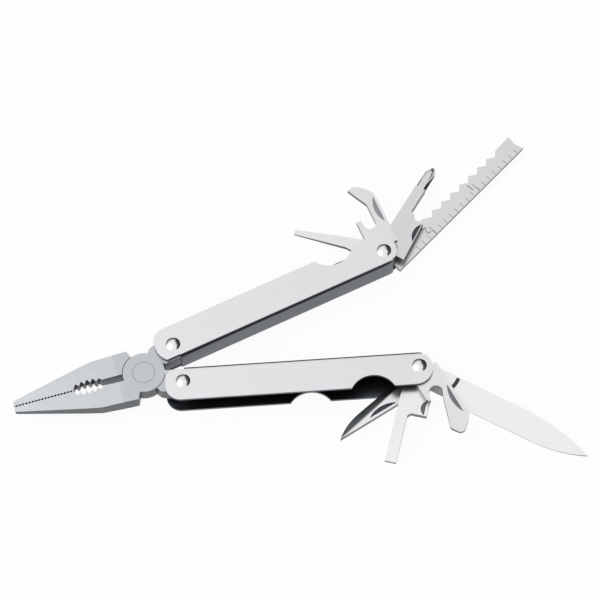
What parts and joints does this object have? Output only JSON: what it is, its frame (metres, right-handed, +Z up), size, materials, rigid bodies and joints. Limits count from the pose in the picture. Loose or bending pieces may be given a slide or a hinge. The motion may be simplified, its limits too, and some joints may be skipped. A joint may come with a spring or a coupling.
{
  "type": "folding multi tool",
  "caption": "Folding stainless multi tool: needle-nose pliers between two channel handles, each with pinned fold-out tools.",
  "frame": {"origin": "bottom centre of the bounding box in the stored pose, on the plane that the rear rivet domes rest on", "axes": "+X along the pliers from the jaw tips toward the handles, +Y toward the handle that carries the ruler, +Z up through the thickness toward the front plates"},
  "size_m": [0.2176, 0.1382, 0.013],
  "materials": {
    "head_steel": "satin",
    "handle_steel": "satin",
    "rivet_steel": "polished",
    "tool_steel": "fine brushed",
    "washer_steel": "plain"
  },
  "bodies": {
    "front_half": {"front_pliers_half": "head_steel", "jaw_pivot_rivet": "head_steel"},
    "rear_half": {"rear_pliers_half": "head_steel"},
    "upper_handle": {"upper_handle_channel": "handle_steel", "upper_tang_rivet": "rivet_steel", "upper_tool_rivet": "rivet_steel", "upper_rear_spacer": "washer_steel", "upper_front_washer": "washer_steel"},
    "lower_handle": {"lower_handle_channel": "handle_steel", "lower_tang_rivet": "rivet_steel", "lower_tool_rivet": "rivet_steel", "lower_rear_spacer": "washer_steel", "lower_front_washer": "washer_steel"},
    "fish_scaler_ruler": {"fish_scaler_ruler": "tool_steel"},
    "phillips_driver": {"phillips_driver": "tool_steel"},
    "small_flat_driver": {"small_flat_driver": "tool_steel"},
    "can_opener": {"can_opener": "tool_steel"},
    "knife_blade": {"knife_blade": "tool_steel"},
    "small_blade": {"small_blade": "tool_steel"},
    "wide_flat_driver": {"wide_flat_driver": "tool_steel"},
    "bottle_opener": {"bottle_opener": "tool_steel"}
  },
  "joints": [
    {"name": "jaw_pivot", "type": "hinge", "parent": "front_half", "child": "rear_half", "pos_m": [-0.05828, 0.00476, 0.0065], "axis": [0, 0, -1], "range_deg": [0, 45]},
    {"name": "upper_handle_fold", "type": "hinge", "parent": "front_half", "child": "upper_handle", "pos_m": [-0.04478, 0.01266, 0.0065], "axis": [0, 0, -1], "range_deg": [-168.9, 0]},
    {"name": "lower_handle_fold", "type": "hinge", "parent": "rear_half", "child": "lower_handle", "pos_m": [-0.04478, -0.00314, 0.0065], "axis": [0, 0, 1], "range_deg": [-168.9, 0]},
    {"name": "fish_scaler_ruler_swing", "type": "hinge", "parent": "upper_handle", "child": "fish_scaler_ruler", "pos_m": [0.04304, 0.02989, 0.0065], "axis": [0, 0, -1], "range_deg": [-158.6, 11.4]},
    {"name": "phillips_driver_swing", "type": "hinge", "parent": "upper_handle", "child": "phillips_driver", "pos_m": [0.04304, 0.02989, 0.0065], "axis": [0, 0, -1], "range_deg": [-146.3, 33.7]},
    {"name": "small_flat_driver_swing", "type": "hinge", "parent": "upper_handle", "child": "small_flat_driver", "pos_m": [0.04304, 0.02989, 0.0065], "axis": [0, 0, -1], "range_deg": [-41, 139]},
    {"name": "can_opener_swing", "type": "hinge", "parent": "upper_handle", "child": "can_opener", "pos_m": [0.04304, 0.02989, 0.0065], "axis": [0, 0, -1], "range_deg": [-92.6, 87.4]},
    {"name": "knife_blade_swing", "type": "hinge", "parent": "lower_handle", "child": "knife_blade", "pos_m": [0.04304, -0.02037, 0.0065], "axis": [0, 0, 1], "range_deg": [-148, 32]},
    {"name": "small_blade_swing", "type": "hinge", "parent": "lower_handle", "child": "small_blade", "pos_m": [0.04304, -0.02037, 0.0065], "axis": [0, 0, 1], "range_deg": [-40, 140]},
    {"name": "wide_flat_driver_swing", "type": "hinge", "parent": "lower_handle", "child": "wide_flat_driver", "pos_m": [0.04304, -0.02037, 0.0065], "axis": [0, 0, 1], "range_deg": [-73, 107]},
    {"name": "bottle_opener_swing", "type": "hinge", "parent": "lower_handle", "child": "bottle_opener", "pos_m": [0.04304, -0.02037, 0.0065], "axis": [0, 0, 1], "range_deg": [-116, 58]}
  ]
}
